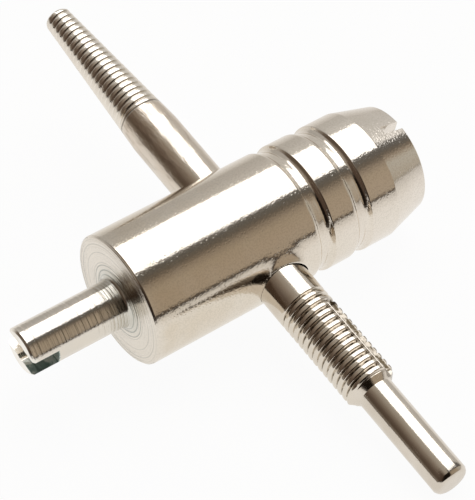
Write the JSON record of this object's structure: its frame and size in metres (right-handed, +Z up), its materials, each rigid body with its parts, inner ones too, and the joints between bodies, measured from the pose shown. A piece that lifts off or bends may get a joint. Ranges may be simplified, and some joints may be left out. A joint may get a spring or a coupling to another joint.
{
  "type": "valve thread chaser",
  "caption": "Tyre valve hand tool: a turned steel body with a forked core driver and a threaded conical nose, crossed by a bar with a thread tap and a tapered extractor.",
  "frame": {"origin": "centre of the footprint at bench height, with the tool lying on its barrel and on the tip of its pilot", "axes": "+X along the body from the forked driver to the threaded nose, +Y towards the tapered extractor, +Z up"},
  "size_m": [0.0428, 0.0642, 0.0133],
  "materials": {
    "plated_steel": "bright plated, fine turning marks",
    "hardened_steel": "bright plated, polished",
    "blackened_steel": "black oxide, oiled"
  },
  "bodies": {
    "root": {"body": "plated_steel", "cross_bar": "hardened_steel", "lock_screw": "blackened_steel"}
  },
  "joints": []
}
